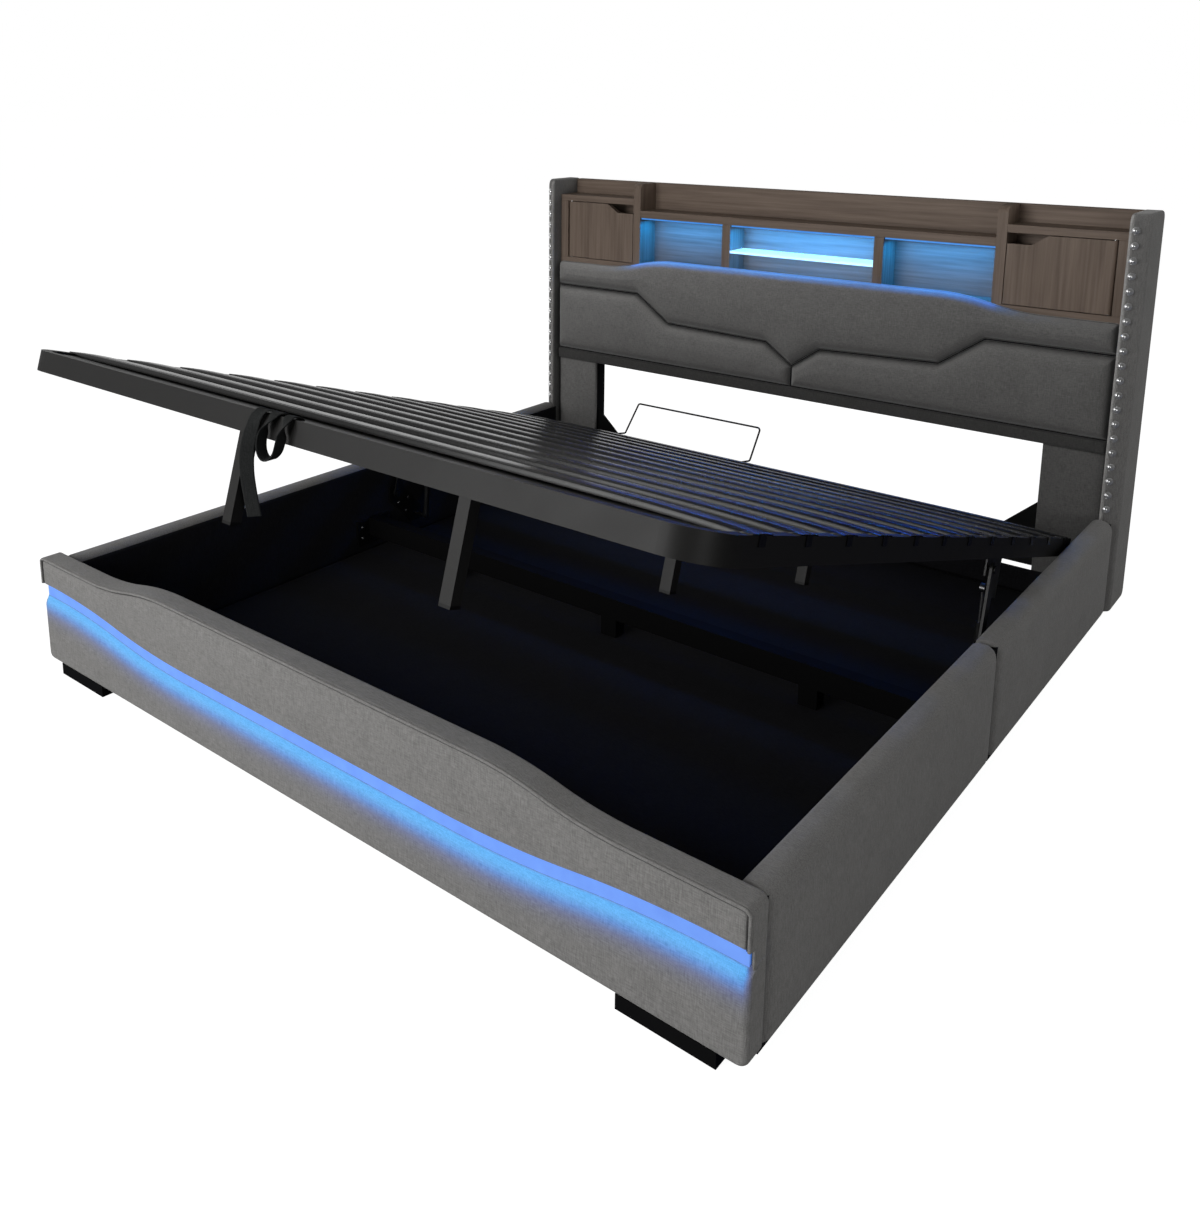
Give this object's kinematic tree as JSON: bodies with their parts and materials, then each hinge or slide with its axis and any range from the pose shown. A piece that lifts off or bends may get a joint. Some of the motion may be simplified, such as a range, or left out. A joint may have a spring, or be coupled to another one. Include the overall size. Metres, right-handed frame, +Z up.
{
  "type": "upholstered storage bed",
  "caption": "Upholstered king size bed with a lifting slat frame over a storage box, lit footboard channel and shelf headboard with cabinets and studded wings.",
  "frame": {"origin": "on the floor under the middle of the bed, on its centre line, at the seam between the front and rear side rails", "axes": "+X to the right as seen from the foot, +Y from the footboard to the headboard, +Z up"},
  "size_m": [2.08, 2.3032, 1.165],
  "materials": {
    "grey_fabric": "woven",
    "plain_wood": "raw",
    "walnut_wood": "satin",
    "black_fabric": "woven",
    "black_board": "matte",
    "black_steel": "satin",
    "bright_steel": "satin",
    "chrome_studs": "polished",
    "black_plastic": "matte",
    "light_diffuser": "frosted",
    "clear_glass": "clear"
  },
  "bodies": {
    "bed_base": {"assembly_bolts": "bright_steel", "cabinet_sides": "walnut_wood", "cabinet_tops": "walnut_wood", "corner_brackets": "black_steel", "door_hinge_pins": "bright_steel", "floor_glides": "black_plastic", "footboard_core": "plain_wood", "footboard_feet": "black_plastic", "footboard_light_strip": "light_diffuser", "footboard_lower_pad": "grey_fabric", "footboard_upper_pad": "grey_fabric", "glass_shelf": "clear_glass", "glass_shelf_pins": "bright_steel", "head_end_bar": "black_steel", "headboard_back_panel": "walnut_wood", "headboard_border_pad": "grey_fabric", "headboard_left_lower_pad": "grey_fabric", "headboard_leg_pads": "grey_fabric", "headboard_legs": "plain_wood", "headboard_panel_board": "plain_wood", "headboard_right_lower_pad": "grey_fabric", "headboard_upper_pad": "grey_fabric", "led_power_supply": "black_plastic", "left_front_rail_cover": "grey_fabric", "left_rear_rail_cover": "grey_fabric", "left_wing_cover": "grey_fabric", "lift_base_plates": "black_steel", "middle_cross_beam": "plain_wood", "middle_feet": "plain_wood", "middle_shelf_board": "walnut_wood", "niche_dividers": "walnut_wood", "niche_light_strips": "light_diffuser", "rail_boards": "plain_wood", "rail_joining_plates": "black_steel", "right_front_rail_cover": "grey_fabric", "right_rear_rail_cover": "grey_fabric", "right_wing_cover": "grey_fabric", "shelf_bottom_board": "walnut_wood", "shelf_uprights": "walnut_wood", "storage_floor_panels": "black_board", "storage_liner": "black_fabric", "wing_boards": "plain_wood", "wing_studs": "chrome_studs"},
    "slat_frame": {"slat_frame_tube": "black_steel", "frame_cross_tubes": "black_steel", "slats": "black_steel", "slat_rivets": "black_steel", "support_legs": "black_steel", "support_leg_caps": "black_plastic", "mattress_stop": "black_steel", "pull_strap": "black_fabric", "frame_lift_brackets": "black_steel"},
    "right_arm": {"right_lift_arm": "black_steel"},
    "right_cylinder": {"right_strut_cylinder": "black_steel"},
    "right_rod": {"right_strut_rod": "bright_steel"},
    "right_cabinet_door": {"right_door": "walnut_wood"},
    "left_arm": {"left_lift_arm": "black_steel"},
    "left_cylinder": {"left_strut_cylinder": "black_steel"},
    "left_rod": {"left_strut_rod": "bright_steel"},
    "left_cabinet_door": {"left_door": "walnut_wood"}
  },
  "joints": [
    {"name": "lift", "type": "hinge", "parent": "bed_base", "child": "right_arm", "pos_m": [0.955, 0.098, 0.1755], "axis": [1, 0, 0], "range_deg": [-75, 0], "deforming": ["pull_strap"]},
    {"name": "frame_tilt", "type": "hinge", "parent": "right_arm", "child": "slat_frame", "pos_m": [0.955, 0.1606, 0.40719], "axis": [1, 0, 0], "range_deg": [-0.05, 92.32]},
    {"name": "left_arm_swing", "type": "hinge", "parent": "bed_base", "child": "left_arm", "pos_m": [-0.955, 0.098, 0.1755], "axis": [1, 0, 0], "range_deg": [-75.05, 0.05]},
    {"name": "right_strut_swing", "type": "hinge", "parent": "bed_base", "child": "right_cylinder", "pos_m": [0.921, 0.1944, 0.0767], "axis": [1, 0, 0], "range_deg": [-74.15, 0.05]},
    {"name": "right_rod_slide", "type": "slide", "parent": "right_cylinder", "child": "right_rod", "axis": [0, 0.0807, 0.9967], "range_m": [-0.0343, 0.0001]},
    {"name": "left_strut_swing", "type": "hinge", "parent": "bed_base", "child": "left_cylinder", "pos_m": [-0.921, 0.1944, 0.0767], "axis": [1, 0, 0], "range_deg": [-74.15, 0.05]},
    {"name": "left_rod_slide", "type": "slide", "parent": "left_cylinder", "child": "left_rod", "axis": [0, 0.0807, 0.9967], "range_m": [-0.0343, 0.0001]},
    {"name": "right_door_swing", "type": "hinge", "parent": "bed_base", "child": "right_cabinet_door", "pos_m": [0.9455, 1.031, 0.98], "axis": [0, 0, 1], "range_deg": [0, 90]},
    {"name": "left_door_swing", "type": "hinge", "parent": "bed_base", "child": "left_cabinet_door", "pos_m": [-0.9455, 1.031, 0.98], "axis": [0, 0, -1], "range_deg": [0, 90]}
  ],
  "couplings": [
    {"joint": "frame_tilt", "follows": "lift", "ratio": -1.2303},
    {"joint": "left_arm_swing", "follows": "lift", "ratio": 1},
    {"joint": "right_strut_swing", "follows": "lift", "ratio": 0.98799},
    {"joint": "right_rod_slide", "follows": "lift", "m_per_rad": 0.026124},
    {"joint": "left_strut_swing", "follows": "lift", "ratio": 0.98799},
    {"joint": "left_rod_slide", "follows": "lift", "m_per_rad": 0.026124}
  ]
}
